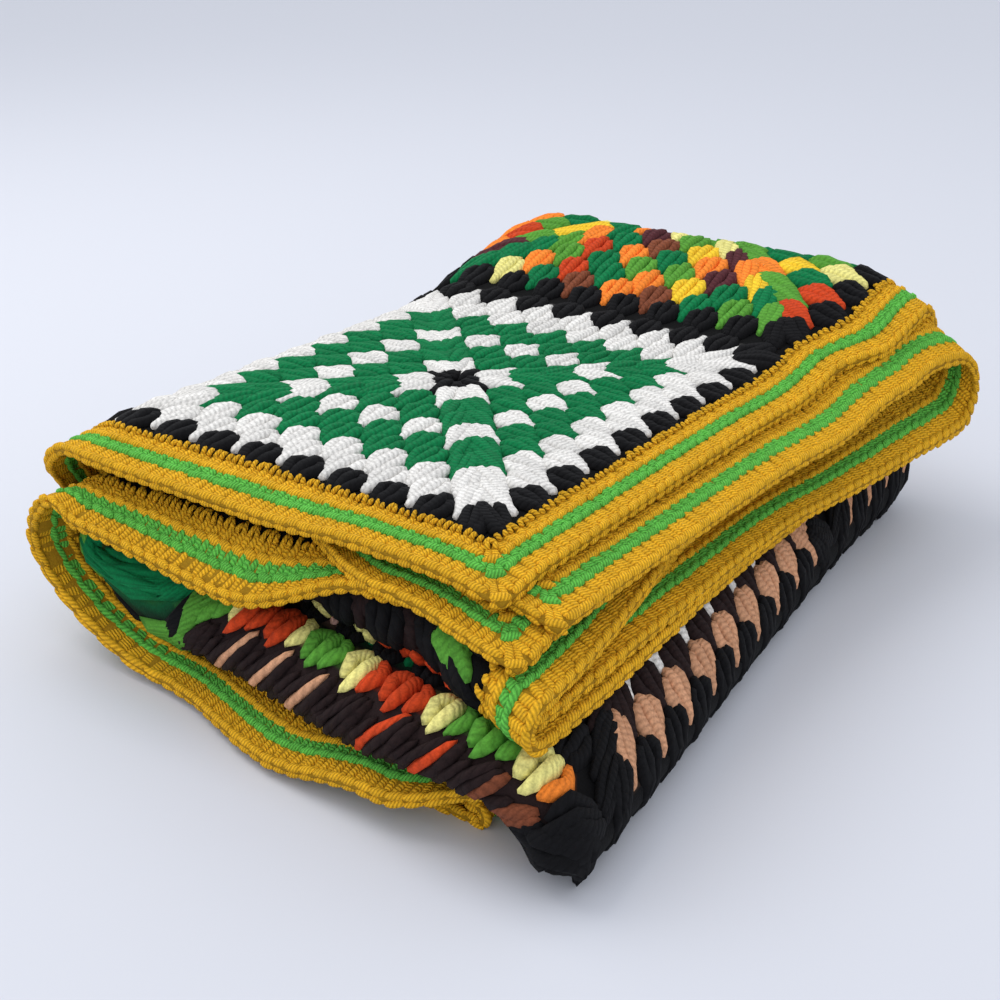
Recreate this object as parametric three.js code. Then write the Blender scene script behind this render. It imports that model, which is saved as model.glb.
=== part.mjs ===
// A crocheted granny square blanket, four squares wide and six long, folded into a thick bundle.
// Millimetres, +Z up. The origin is under the middle of the bundle, on the surface it rests on.
// +X runs along the near side towards the corner where the free edges lie, +Y from the near side to the back.
//
// The blanket is folded three times: in half across its width (fold 1), in quarters along its length
// (fold 2), and the long pack that makes is folded in half again across its width (fold 3). Sixteen layers
// lie on each other, eight in the upper pack and eight in the lower one.
import * as THREE from "three";

// ---- driving dimensions ----
const SQUARE = 260; // one granny square
const SQUARES_WIDE = 4;
const SQUARES_LONG = 6;
const EDGING_WIDTH = 25; // three rounds of edging
const CLOTH = 4.6; // thickness of the crochet
const PITCH = 7.2; // from one layer of the bundle to the next
const SEAM_GAP = 0.3; // between the joined squares and the edging
const LAYERS = 16;

const WIDTH = SQUARES_WIDE * SQUARE + 2 * EDGING_WIDTH;
const LENGTH = SQUARES_LONG * SQUARE + 2 * EDGING_WIDTH;
const HALF_FOLD = PITCH / 2; // radius of fold 1, at the middle of the cloth
const PACK_RADIUS = (LAYERS / 4) * PITCH; // radius of fold 3, at the middle of a pack

// ---- fold 2, along the length: run 1, back fold, run 2, near fold, run 3, inner fold, run 4 ----
const BACK_RADIUS = 3 * PITCH;
const NEAR_RADIUS = PITCH;
const INNER_RADIUS = PITCH;
const BACK_ARC = Math.PI * BACK_RADIUS;
const NEAR_ARC = Math.PI * NEAR_RADIUS;
const INNER_ARC = Math.PI * INNER_RADIUS;
const RUN = (LENGTH - BACK_ARC - NEAR_ARC - INNER_ARC) / 4;
const NEAR_Y = -220; // where the borders of runs 1 and 4 and the near fold lie, before they slide
const BACK_Y = NEAR_Y + RUN;

// where along the length each fold and run starts
const BACK_FOLD = RUN;
const RUN_2 = BACK_FOLD + BACK_ARC;
const NEAR_FOLD = RUN_2 + RUN;
const RUN_3 = NEAR_FOLD + NEAR_ARC;
const INNER_FOLD = RUN_3 + RUN;
const RUN_4 = INNER_FOLD + INNER_ARC;

// ---- fold 3, across the width ----
// A column of the cloth has a place "at" across the width: 0 at the free right edge of the upper pack,
// 1 where the upper pack starts to turn round the left end, 2 where the lower pack leaves it, 3 at fold 1.
const RIGHT_X = 140;
const TOP_RUN = 240; // length of the upper pack's flat part
const LEFT_X = RIGHT_X - TOP_RUN;
const MIDDLE_Z = (LAYERS / 2) * PITCH - (PITCH - CLOTH) / 2; // height of the place where the two packs meet
const LOWER_STRETCH = 4; // what the cloth of the lower pack gives
const LOWER_RUN = WIDTH / 2 - TOP_RUN - Math.PI * PACK_RADIUS + LOWER_STRETCH;
const LENGTH_PER_HEIGHT = 1.66; // the higher a layer of the lower pack lies, the further right it ends
const TURN_X = 92; // past here the lower pack turns down to the surface
const LOWER_TURN_AT = 2.72; // a little before the turn
const SMALLEST_TURN = 1; // radius of the turn right on the surface

// ---- the lower pack lies askew under the upper one ----
const SKEW_X = 50; // its near corner stands out by this much to the right
const SKEW_Y = 22; // and by this much towards the near side
const SKEW_FROM_AT = 1.5; // the skew comes in along the lower half of the left end
const SKEW_FULL_AT = 2.05;
const SKEW_NEAR_Y = NEAR_Y - 160; // full at this place, and gone at the next
const SKEW_BACK_Y = BACK_Y + 10;
const SKEW_Y_FROM_X = -40; // the part towards the near side grows between these
const SKEW_Y_FULL_X = 180;

// ---- near borders of the four layers that end there ----
// "y" slides the border towards the back along its layer, "out" lifts it away from the middle of the bundle.
const NEAR_BORDERS = {
  top: [
    { at: 0, y: -4, out: -4 },
    { at: 0.3, y: -4, out: -4 },
    { at: 0.6, y: -4, out: -8 },
    { at: 1, y: -8, out: -6 },
    { at: 1.25, y: -2, out: 0 },
    { at: 1.5, y: 18, out: 0 },
    { at: 2, y: 28, out: 0 },
    { at: 2.4, y: 22, out: 0 },
    { at: 2.7, y: -4, out: 0 },
    { at: 3, y: 4, out: 0 },
  ],
  second: [
    { at: 0, y: 4, out: -1 },
    { at: 0.3, y: 8, out: -1 },
    { at: 0.6, y: 18, out: 0 },
    { at: 1, y: 24, out: 0 },
    { at: 1.25, y: 30, out: 0 },
    { at: 1.5, y: 34, out: 0 },
    { at: 2, y: 36, out: 0 },
    { at: 2.4, y: 34, out: 0 },
    { at: 2.7, y: 20, out: 0 },
    { at: 3, y: 4, out: 0 },
  ],
  third: [
    { at: 0, y: -16, out: -6 },
    { at: 0.3, y: -8, out: -4 },
    { at: 0.6, y: 16, out: 0 },
    { at: 1, y: 24, out: 0 },
    { at: 1.25, y: 34, out: 0 },
    { at: 1.5, y: 56, out: 0 },
    { at: 2, y: 68, out: 0 },
    { at: 2.4, y: 60, out: 0 },
    { at: 2.7, y: 24, out: 0 },
    { at: 3, y: 4, out: 0 },
  ],
  fourth: [
    { at: 0, y: 8, out: -1 },
    { at: 0.3, y: -6, out: -1 },
    { at: 0.6, y: -20, out: -20 },
    { at: 1, y: -22, out: -11 },
    { at: 1.25, y: -20, out: 2 },
    { at: 1.5, y: -16, out: 9 },
    { at: 2, y: -16, out: 17 },
    { at: 2.4, y: -30, out: 17 },
    { at: 2.7, y: -24, out: 8 },
    { at: 3, y: 4, out: 0 },
  ],
};
const BORDER_SLIDE_REACH = 170; // how far in from the border the slide dies out
const BORDER_LIFT_REACH = 32; // how far in the lift dies out, in the upper pack
const LOWER_LIFT_REACH = 60; // and in the lower pack, between the first two of these places and the last two
const LOWER_LIFT = { from: 1.25, full: 1.75, less: 2.4, gone: 2.7 };

// ---- the near fold of runs 2 and 3 slides too ----
const NEAR_FOLD_SLIDES = [
  { at: 0, y: -14 },
  { at: 0.3, y: 10 },
  { at: 0.6, y: 21 },
  { at: 1, y: 20 },
  { at: 2, y: 2 },
  { at: 2.6, y: -6 },
  { at: 3, y: 0 },
];
const NEAR_FOLD_REACH = 150;

// ---- in the lower pack the near fold hangs down over the borders under it ----
const FOLD_DROOP = 8;
const FOLD_DROOP_REACH = 55; // along run 3
const DROOP = { from: 1.4, full: 1.9, less: 2.4, gone: 2.8 };

// ---- free right edges of the upper pack ----
const FIRST_SEAM = EDGING_WIDTH + SQUARE; // along the length, between the first two squares
const PAST_SEAM = FIRST_SEAM + 50;
// How far the edge slides out at a place along the length, on the half of the cloth that shows outside and
// on the half folded inside it.
const RIGHT_EDGES = [
  { along: 0, outside: -10, inside: 10 },
  { along: RUN / 2, outside: -12, inside: 10 },
  { along: FIRST_SEAM, outside: -10, inside: 14 },
  { along: PAST_SEAM, outside: 4, inside: 20 },
  { along: BACK_FOLD + BACK_ARC / 2, outside: 2, inside: 32 },
  { along: RUN_2 + RUN / 2, outside: 8, inside: 10 },
  { along: NEAR_FOLD + NEAR_ARC / 2, outside: 18, inside: 14 },
  { along: RUN_3 + RUN / 2, outside: -12, inside: -14 },
  { along: INNER_FOLD + INNER_ARC / 2, outside: -40, inside: -36 },
  { along: RUN_4 + RUN / 2, outside: -20, inside: -6 },
  { along: LENGTH, outside: -10, inside: 6 },
];
const RIGHT_SLIDE_REACH = 140;

// ---- how the upper pack sags ----
const EDGE_SAG = 9; // the top layer's drop at the right edge; the layers under it drop less
const EDGE_SAG_FROM_X = 88;
const EDGE_SAG_FULL_X = 155;
const OVERHANG_SAG = 0.0055; // how fast the free edges fall past what carries them, per mm
const OVERHANG_NEAR_X = 130;
const OVERHANG_BACK_X = 115;

// ---- the bundle is puffed up at the back ----
const BACK_LOFT = 0.25; // share of the height
const LOFT_FROM_Y = 20;
const LOFT_FULL_Y = 165;

// ---- how finely the surfaces are divided ----
const STEPS = {
  edging: 2,
  topRun: 8,
  leftFold: 9,
  lowerRun: 4,
  lowerTurn: 3,
  halfFold: 4,
  run: 6,
  backFold: 7,
  nearFold: 4,
  innerFold: 4,
};

// ---- small helpers ----
const mix = (a, b, f) => a + (b - a) * f;

function ease(from, to, value) {
  const f = Math.min(1, Math.max(0, (value - from) / (to - from)));
  return f * f * (3 - 2 * f);
}

// The value of a column of a table at a place between its rows, eased from row to row.
function lookUp(rows, key, column, value) {
  const last = rows.length - 1;
  let i = 0;
  while (i < last - 1 && value > rows[i + 1][key]) i += 1;
  return mix(rows[i][column], rows[i + 1][column], ease(rows[i][key], rows[i + 1][key], value));
}

// 1 between the middle two of four places, easing to 0 at the outer two.
function between({ from, full, less, gone }, value) {
  return ease(from, full, value) * (1 - ease(less, gone, value));
}

// Evenly spaced numbers from the first to just before the last.
function spaced(from, to, steps) {
  return Array.from({ length: steps }, (_, i) => mix(from, to, i / steps));
}

// ---- fold 2: where a place along the length lies in a pack, seen from the pack's end ----
// Each returns y, the height h over the pack's middle and the direction of the cloth's outer side, for the
// middle of the cloth folded in half.
function onRun(y, h, nh) {
  return { y, h, ny: 0, nh };
}

// "towards" is 1 for a fold at the back and -1 for one at the near side, "up" is 1 where the fold starts at
// its top, and "outward" is 1 where the cloth's outer side is outside the fold.
function onFold(centre, radius, angle, { towards, up, outward }) {
  const s = towards * Math.sin(angle);
  const c = up * Math.cos(angle);
  return { y: centre.y + radius * s, h: centre.h + radius * c, ny: outward * s, nh: outward * c };
}

function lengthwise(along) {
  if (along < BACK_FOLD) return onRun(NEAR_Y + along, BACK_RADIUS, 1);
  if (along < RUN_2) {
    const angle = (along - BACK_FOLD) / BACK_RADIUS;
    return onFold({ y: BACK_Y, h: 0 }, BACK_RADIUS, angle, { towards: 1, up: 1, outward: 1 });
  }
  if (along < NEAR_FOLD) return onRun(BACK_Y - (along - RUN_2), -BACK_RADIUS, -1);
  if (along < RUN_3) {
    const centre = { y: NEAR_Y, h: NEAR_RADIUS - BACK_RADIUS };
    const angle = (along - NEAR_FOLD) / NEAR_RADIUS;
    return onFold(centre, NEAR_RADIUS, angle, { towards: -1, up: -1, outward: 1 });
  }
  if (along < INNER_FOLD) return onRun(NEAR_Y + (along - RUN_3), -INNER_RADIUS, 1);
  if (along < RUN_4) {
    const angle = (along - INNER_FOLD) / INNER_RADIUS;
    return onFold({ y: BACK_Y, h: 0 }, INNER_RADIUS, angle, { towards: 1, up: -1, outward: -1 });
  }
  return onRun(BACK_Y - (along - RUN_4), INNER_RADIUS, -1);
}

// ---- how far the borders, the near fold and the right edges slide ----
function nearBorder(along, side) {
  if (along < RUN) return side > 0 ? NEAR_BORDERS.top : NEAR_BORDERS.second;
  return side > 0 ? NEAR_BORDERS.fourth : NEAR_BORDERS.third;
}

function slideLengthwise({ at, side }, along, { y, h }) {
  const place = Math.min(at, 3);
  const fromBorder = Math.min(along, LENGTH - along);
  const fromFold = Math.abs(along - NEAR_FOLD - NEAR_ARC / 2);
  const fold = lookUp(NEAR_FOLD_SLIDES, "at", "y", place) * (1 - ease(0, NEAR_FOLD_REACH, fromFold));
  const hanging = ease(NEAR_FOLD, RUN_3, along) * (1 - ease(RUN_3, RUN_3 + FOLD_DROOP_REACH, along));
  const droop = FOLD_DROOP * between(DROOP, at) * hanging;
  if (fromBorder >= RUN) return { y: y + fold, h: h + droop };
  const rows = nearBorder(along, side);
  const slide = lookUp(rows, "at", "y", place) * (1 - ease(0, BORDER_SLIDE_REACH, fromBorder));
  const reach = mix(BORDER_LIFT_REACH, LOWER_LIFT_REACH, between(LOWER_LIFT, at));
  const lift = lookUp(rows, "at", "out", place) * (1 - ease(0, reach, fromBorder));
  return { y: y + fold + slide, h: h + lift + droop };
}

function slideRight(side, along, fromRight) {
  const half = side > 0 ? "outside" : "inside";
  return lookUp(RIGHT_EDGES, "along", half, along) * (1 - ease(0, RIGHT_SLIDE_REACH, fromRight));
}

// ---- fold 3: each part of a column, for a layer at height h over its pack's middle ----
function upperPack({ at, side }, along, h) {
  const fromRight = at * TOP_RUN;
  return { x: RIGHT_X - fromRight + slideRight(side, along, fromRight), z: MIDDLE_Z + PACK_RADIUS + h };
}

function leftEnd({ at }, h) {
  const angle = (at - 1) * Math.PI;
  const radius = PACK_RADIUS + h;
  return { x: LEFT_X - radius * Math.sin(angle), z: MIDDLE_Z + radius * Math.cos(angle) };
}

// "middleH" is the height of the middle of the cloth folded in half, and "past" how far fold 1 carries the
// cloth past its end.
function lowerPack({ at }, middleH, h, past) {
  const length = LOWER_RUN - LENGTH_PER_HEIGHT * middleH;
  const x = LEFT_X + (at - 2) * length + past;
  const z = MIDDLE_Z - PACK_RADIUS - h;
  if (x <= TURN_X) return { x, z };
  const angle = (x - TURN_X) / Math.max(z, SMALLEST_TURN);
  return { x: TURN_X + z * Math.sin(angle), z: z * Math.cos(angle) };
}

// ---- the place of a point of the cloth ----
// "side" of the column is 1 on the half of the cloth that shows outside and -1 on the half folded inside it,
// "turn" is the angle round fold 1, and "offset" is the distance from the middle of the cloth towards its
// outer face.
function placeOf(column, along, offset) {
  const { at, side, turn } = column;
  const lift = HALF_FOLD + offset;
  const w = turn === undefined ? lift * side : lift * Math.cos(turn);
  const past = turn === undefined ? 0 : lift * Math.sin(turn);
  const middle = lengthwise(along);
  const unslid = { y: middle.y + w * middle.ny, h: middle.h + w * middle.nh };
  const { y, h } = slideLengthwise(column, along, unslid);

  let part;
  if (at <= 1) part = upperPack(column, along, h);
  else if (at <= 2) part = leftEnd(column, h);
  else part = lowerPack(column, middle.h, h, past);
  return lofted(sagged(skewed(at, part.x, y, part.z), at));
}

function skewed(at, x, y, z) {
  const low = ease(SKEW_FROM_AT, SKEW_FULL_AT, at) * (1 - ease(SKEW_NEAR_Y, SKEW_BACK_Y, y));
  const toRight = x + SKEW_X * low;
  return new THREE.Vector3(toRight, y - SKEW_Y * low * ease(SKEW_Y_FROM_X, SKEW_Y_FULL_X, toRight), z);
}

function sagged(point, at) {
  if (at > 1 || point.z <= MIDDLE_Z) return point;
  const height = (point.z - MIDDLE_Z) / (2 * PACK_RADIUS);
  const carried = mix(OVERHANG_NEAR_X, OVERHANG_BACK_X, ease(NEAR_Y, BACK_Y, point.y));
  point.z -= EDGE_SAG * height * ease(EDGE_SAG_FROM_X, EDGE_SAG_FULL_X, point.x);
  point.z -= OVERHANG_SAG * Math.max(0, point.x - carried) ** 2;
  return point;
}

function lofted(point) {
  point.z *= 1 + BACK_LOFT * ease(LOFT_FROM_Y, LOFT_FULL_Y, point.y);
  return point;
}

// ---- columns across the cloth and rows along it ----
const EDGE_AT = EDGING_WIDTH / TOP_RUN;
const GAP_AT = SEAM_GAP / 2 / TOP_RUN;

// the edging at a free right edge, from outside in
function edgeColumns(side) {
  const last = EDGE_AT - GAP_AT;
  return [...spaced(0, last, STEPS.edging), last].map((at) => ({ at, side }));
}

// half of the joined squares, from the edging to fold 1
function halfColumns(side) {
  return [
    ...spaced(EDGE_AT + GAP_AT, 1, STEPS.topRun),
    ...spaced(1, 2, STEPS.leftFold),
    ...spaced(2, LOWER_TURN_AT, STEPS.lowerRun),
    ...spaced(LOWER_TURN_AT, 3, STEPS.lowerTurn),
  ].map((at) => ({ at, side }));
}

function foldColumns() {
  const turns = [...spaced(0, Math.PI, STEPS.halfFold), Math.PI];
  return turns.map((turn) => ({ at: 3, turn, side: Math.cos(turn) >= 0 ? 1 : -1 }));
}

function squareColumns() {
  return [...halfColumns(1), ...foldColumns(), ...halfColumns(-1).reverse()];
}

function squareRows() {
  const gap = SEAM_GAP / 2;
  const last = LENGTH - EDGING_WIDTH - gap;
  return [
    ...spaced(EDGING_WIDTH + gap, BACK_FOLD, STEPS.run + 1),
    ...spaced(BACK_FOLD, RUN_2, STEPS.backFold),
    ...spaced(RUN_2, NEAR_FOLD, STEPS.run),
    ...spaced(NEAR_FOLD, RUN_3, STEPS.nearFold),
    ...spaced(RUN_3, INNER_FOLD, STEPS.run),
    ...spaced(INNER_FOLD, RUN_4, STEPS.innerFold),
    ...spaced(RUN_4, last, STEPS.run + 1),
    last,
  ];
}

function startRows() {
  const last = EDGING_WIDTH - SEAM_GAP / 2;
  return [...spaced(0, last, STEPS.edging), last];
}

function endRows() {
  return [...spaced(LENGTH - EDGING_WIDTH + SEAM_GAP / 2, LENGTH, STEPS.edging), LENGTH];
}

// ---- a closed solid of the cells of the cloth that "keep" accepts ----
// Each cell has an outer and an inner face, and a wall wherever its neighbour is missing.
function solidOf(columns, rows, keep) {
  const positions = [];
  const index = [];
  const corners = new Map();
  const corner = (i, j, face) => {
    const key = `${i} ${j} ${face}`;
    if (!corners.has(key)) {
      corners.set(key, corners.size);
      positions.push(...placeOf(columns[i], rows[j], (face * CLOTH) / 2).toArray());
    }
    return corners.get(key);
  };
  const quad = (a, b, c, d) => index.push(a, b, c, a, c, d);
  const inside = (i, j) => i >= 0 && j >= 0 && i < columns.length - 1 && j < rows.length - 1;
  const has = (i, j) => inside(i, j) && keep(i, j);
  for (let i = 0; i < columns.length - 1; i += 1) {
    for (let j = 0; j < rows.length - 1; j += 1) {
      if (!has(i, j)) continue;
      const at = (di, dj, face) => corner(i + di, j + dj, face);
      quad(at(0, 0, 1), at(0, 1, 1), at(1, 1, 1), at(1, 0, 1));
      quad(at(0, 0, -1), at(1, 0, -1), at(1, 1, -1), at(0, 1, -1));
      if (!has(i - 1, j)) quad(at(0, 0, 1), at(0, 0, -1), at(0, 1, -1), at(0, 1, 1));
      if (!has(i + 1, j)) quad(at(1, 0, 1), at(1, 1, 1), at(1, 1, -1), at(1, 0, -1));
      if (!has(i, j - 1)) quad(at(1, 0, 1), at(1, 0, -1), at(0, 0, -1), at(0, 0, 1));
      if (!has(i, j + 1)) quad(at(1, 1, 1), at(0, 1, 1), at(0, 1, -1), at(1, 1, -1));
    }
  }
  const geometry = new THREE.BufferGeometry();
  geometry.setAttribute("position", new THREE.BufferAttribute(new Float32Array(positions), 3));
  geometry.setIndex(index);
  return geometry;
}

function clothMesh(name, geometry, color) {
  const material = new THREE.MeshStandardMaterial({ color, roughness: 0.95, metalness: 0 });
  const mesh = new THREE.Mesh(geometry, material);
  mesh.name = name;
  return mesh;
}

// ---- the two pieces ----
function joinedSquares() {
  return clothMesh("joined_squares", solidOf(squareColumns(), squareRows(), () => true), 0x1d6b3f);
}

// The edging is the rest of the cloth: a strip all round the joined squares.
function edging() {
  const right = edgeColumns(1);
  const middleColumns = squareColumns();
  const start = startRows();
  const middleRows = squareRows();
  const columns = [...right, ...middleColumns, ...edgeColumns(-1).reverse()];
  const rows = [...start, ...middleRows, ...endRows()];
  const isMiddle = (k, before, middle) => k >= before.length - 1 && k < before.length + middle.length;
  const keep = (i, j) => !(isMiddle(i, right, middleColumns) && isMiddle(j, start, middleRows));
  return clothMesh("edging", solidOf(columns, rows, keep), 0xd9a521);
}

// Moves the pieces so that the origin is under the middle of the bundle.
function centre(meshes) {
  const box = new THREE.Box3();
  meshes.forEach((mesh) => box.expandByObject(mesh));
  const middle = box.getCenter(new THREE.Vector3());
  meshes.forEach((mesh) => {
    mesh.geometry.translate(-middle.x, -middle.y, -box.min.z);
    mesh.geometry.computeVertexNormals();
  });
}

const pieces = [joinedSquares(), edging()];
centre(pieces);
const group = new THREE.Group();
group.add(...pieces);
export default group;
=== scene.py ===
"""Looks of the folded granny square blanket: crocheted clusters, black joins and a three-round edging.

The stitches are laid on the flat cloth first, in millimetres: "across" runs from the free edge of one half
over fold 1 to the free edge of the other, "along" runs along the length, and "over" is the height over the
middle of the cloth on its outer side. fold() then carries every point to its place in the bundle.
"""

import math

import bpy
import numpy as np
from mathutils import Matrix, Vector
from mathutils.bvhtree import BVHTree


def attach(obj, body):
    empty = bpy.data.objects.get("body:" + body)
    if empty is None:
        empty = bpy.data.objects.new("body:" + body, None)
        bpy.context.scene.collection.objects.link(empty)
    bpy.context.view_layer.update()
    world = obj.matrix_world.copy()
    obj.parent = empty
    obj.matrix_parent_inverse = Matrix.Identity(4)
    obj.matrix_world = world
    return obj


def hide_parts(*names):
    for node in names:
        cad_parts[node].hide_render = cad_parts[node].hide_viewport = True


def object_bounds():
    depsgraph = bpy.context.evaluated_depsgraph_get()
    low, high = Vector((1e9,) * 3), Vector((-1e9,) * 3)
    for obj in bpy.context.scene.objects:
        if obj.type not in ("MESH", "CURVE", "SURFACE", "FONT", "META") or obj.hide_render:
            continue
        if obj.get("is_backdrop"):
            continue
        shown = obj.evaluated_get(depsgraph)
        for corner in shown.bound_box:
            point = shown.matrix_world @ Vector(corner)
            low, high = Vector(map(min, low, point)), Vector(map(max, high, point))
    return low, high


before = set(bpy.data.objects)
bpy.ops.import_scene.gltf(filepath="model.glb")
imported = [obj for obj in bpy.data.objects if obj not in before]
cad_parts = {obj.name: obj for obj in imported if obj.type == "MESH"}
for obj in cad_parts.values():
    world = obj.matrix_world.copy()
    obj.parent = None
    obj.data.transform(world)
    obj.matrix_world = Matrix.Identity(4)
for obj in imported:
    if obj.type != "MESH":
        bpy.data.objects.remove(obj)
cad_low, cad_high = (np.array(corner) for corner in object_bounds())

# ---- sizes of the cloth, in millimetres ----
SQUARE = 260.0
SQUARES_WIDE = 4
SQUARES_LONG = 6
ROUNDS = 10
ROUND = SQUARE / 2 / ROUNDS
CLUSTER = 2 * ROUND  # from one cluster of a round to the next
EDGING_WIDTH = 25.0
CLOTH = 4.6  # thickness of the crochet
PITCH = 7.2  # from one layer of the bundle to the next
LAYERS = 16
WIDTH = SQUARES_WIDE * SQUARE + 2 * EDGING_WIDTH
LENGTH = SQUARES_LONG * SQUARE + 2 * EDGING_WIDTH
HALF_FOLD = PITCH / 2  # radius of fold 1, at the middle of the cloth
PACK_RADIUS = LAYERS / 4 * PITCH  # radius of fold 3, at the middle of a pack

# ---- fold 2, along the length ----
BACK_RADIUS = 3 * PITCH
NEAR_RADIUS = PITCH
INNER_RADIUS = PITCH
BACK_ARC = math.pi * BACK_RADIUS
NEAR_ARC = math.pi * NEAR_RADIUS
INNER_ARC = math.pi * INNER_RADIUS
RUN = (LENGTH - BACK_ARC - NEAR_ARC - INNER_ARC) / 4
NEAR_Y = -220.0  # where the borders and the near fold lie, before they slide
BACK_Y = NEAR_Y + RUN
# Places along the cloth where each fold starts and the next run starts.
BACK_FOLD = RUN
RUN_2 = BACK_FOLD + BACK_ARC
NEAR_FOLD = RUN_2 + RUN
RUN_3 = NEAR_FOLD + NEAR_ARC
INNER_FOLD = RUN_3 + RUN
RUN_4 = INNER_FOLD + INNER_ARC

# ---- fold 3, across the width ----
RIGHT_X = 140.0
TOP_RUN = 240.0  # length of the upper pack's flat part
LEFT_X = RIGHT_X - TOP_RUN
MIDDLE_Z = LAYERS / 2 * PITCH - (PITCH - CLOTH) / 2  # where the two packs meet
LOWER_STRETCH = 4.0  # what the cloth of the lower pack gives
LOWER_RUN = WIDTH / 2 - TOP_RUN - math.pi * PACK_RADIUS + LOWER_STRETCH
LENGTH_PER_HEIGHT = 1.66  # the higher a layer of the lower pack lies, the further right it ends
TURN_X = 92.0  # past here the lower pack turns down to the floor
SMALLEST_TURN = 1.0

# ---- the lower pack lies askew ----
SKEW_X = 50.0
SKEW_Y = 22.0
SKEW_FROM_AT = 1.5
SKEW_FULL_AT = 2.05
SKEW_NEAR_Y = NEAR_Y - 160
SKEW_BACK_Y = BACK_Y + 10
SKEW_Y_FROM_X = -40.0
SKEW_Y_FULL_X = 180.0

# ---- how the borders, the near fold and the right edges slide: the part's own tables ----
# "at" goes along a half of the cloth from its free edge: 0 to 1 in the upper pack, 1 to 2 round the left
# end and 2 to 3 in the lower pack.
AT = [0, 0.3, 0.6, 1, 1.25, 1.5, 2, 2.4, 2.7, 3]
BORDERS = {
    "top": {
        "y": [-4, -4, -4, -8, -2, 18, 28, 22, -4, 4],
        "out": [-4, -4, -8, -6, 0, 0, 0, 0, 0, 0],
    },
    "second": {
        "y": [4, 8, 18, 24, 30, 34, 36, 34, 20, 4],
        "out": [-1, -1, 0, 0, 0, 0, 0, 0, 0, 0],
    },
    "third": {
        "y": [-16, -8, 16, 24, 34, 56, 68, 60, 24, 4],
        "out": [-6, -4, 0, 0, 0, 0, 0, 0, 0, 0],
    },
    "fourth": {
        "y": [8, -6, -20, -22, -20, -16, -16, -30, -24, 4],
        "out": [-1, -1, -20, -11, 2, 9, 17, 17, 8, 0],
    },
}
BORDER_SLIDE_REACH = 170.0  # how far in from the border the slide dies out
BORDER_LIFT_REACH = 32.0  # how far in the lift dies out, in the upper pack
LOWER_LIFT_REACH = 60.0  # and in the lower pack
LOWER_LIFT = (1.25, 1.75, 2.4, 2.7)

NEAR_FOLD_SLIDES = {"at": [0, 0.3, 0.6, 1, 2, 2.6, 3], "y": [-14, 10, 21, 20, 2, -6, 0]}
NEAR_FOLD_REACH = 150.0
FOLD_DROOP = 8.0  # the near fold hangs down in the lower pack
FOLD_DROOP_REACH = 55.0
DROOP = (1.4, 1.9, 2.4, 2.8)

FIRST_SEAM = EDGING_WIDTH + SQUARE
PAST_SEAM = FIRST_SEAM + 50
RIGHT_EDGES = {
    "along": [
        0,
        RUN / 2,
        FIRST_SEAM,
        PAST_SEAM,
        BACK_FOLD + BACK_ARC / 2,
        RUN_2 + RUN / 2,
        NEAR_FOLD + NEAR_ARC / 2,
        RUN_3 + RUN / 2,
        INNER_FOLD + INNER_ARC / 2,
        RUN_4 + RUN / 2,
        LENGTH,
    ],
    "outside": [-10, -12, -10, 4, 2, 8, 18, -12, -40, -20, -10],
    "inside": [10, 10, 14, 20, 32, 10, 14, -14, -36, -6, 6],
}
RIGHT_SLIDE_REACH = 140.0

# ---- how the free edges sag, and how the back is puffed up ----
EDGE_SAG = 9.0
EDGE_SAG_FROM_X = 88.0
EDGE_SAG_FULL_X = 155.0
OVERHANG_SAG = 0.0055  # how fast the free edges fall past what carries them, per mm
OVERHANG_NEAR_X = 130.0
OVERHANG_BACK_X = 115.0
BACK_LOFT = 0.25  # share of the height
LOFT_FROM_Y = 20.0
LOFT_FULL_Y = 165.0

# ---- yarn colours ----
YARNS = {
    "black": (0.0035, 0.0035, 0.0045),
    "white": (0.74, 0.725, 0.695),
    "green": (0.001, 0.16, 0.05),
    "leaf": (0.09, 0.30, 0.035),
    "lime": (0.12, 0.50, 0.07),
    "mustard": (0.80, 0.43, 0.018),
    "cream": (0.80, 0.74, 0.25),
    "yellow": (0.85, 0.55, 0.03),
    "orange": (0.90, 0.24, 0.03),
    "rust": (0.56, 0.055, 0.012),
    "peach": (0.58, 0.30, 0.17),
    "pink": (0.70, 0.42, 0.36),
    "brown": (0.19, 0.055, 0.025),
    "maroon": (0.08, 0.02, 0.025),
    "dark": (0.016, 0.008, 0.008),
}


# ---- small helpers ----
def ease(low, high, value):
    """0 up to low, 1 from high on, and smooth between them."""
    f = np.clip((value - low) / (high - low), 0.0, 1.0)
    return f * f * (3 - 2 * f)


def mix(a, b, f):
    return a + (b - a) * f


def between(places, value):
    """0 up to the first place, 1 from the second to the third and 0 from the fourth on."""
    start, full, less, gone = places
    return ease(start, full, value) * (1 - ease(less, gone, value))


def look_up(places, values, where):
    """A table's value between its rows, eased from row to row."""
    places = np.asarray(places, float)
    values = np.asarray(values, float)
    i = np.searchsorted(places[1:-1], where)
    return mix(values[i], values[i + 1], ease(places[i], places[i + 1], where))


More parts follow.
